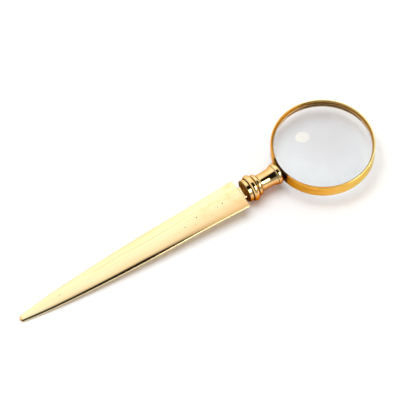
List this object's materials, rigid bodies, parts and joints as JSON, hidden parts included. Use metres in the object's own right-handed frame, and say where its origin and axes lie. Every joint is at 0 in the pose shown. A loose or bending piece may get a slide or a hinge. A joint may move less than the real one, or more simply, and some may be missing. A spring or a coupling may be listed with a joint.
{
  "type": "hand magnifier with paper-knife handle",
  "caption": "Round brass-banded magnifying lens on a turned neck, with a tapering paper-knife blade for its handle.",
  "frame": {"origin": "centre of the lens, on its optical axis and half way up the band", "axes": "+Z is the optical axis; the handle runs along -X, its blade flat in the XY plane; +X points from the handle to the lens"},
  "size_m": [0.24, 0.0628, 0.0166],
  "materials": {
    "band_brass": "fine circumferential brushing, lacquered",
    "lens_glass": "polished clear glass",
    "ring_brass": "dull drawn wire",
    "stud_brass": "turned",
    "neck_brass": "mirror polished",
    "blade_brass": "polished with fine scratches and small pits"
  },
  "bodies": {
    "root": {"bezel_band": "band_brass", "magnifying_lens": "lens_glass", "upper_retaining_ring": "ring_brass", "lower_retaining_ring": "ring_brass", "band_stud": "stud_brass", "turned_neck": "neck_brass", "blade_ferrule": "neck_brass", "paper_knife_blade": "blade_brass"}
  },
  "joints": []
}
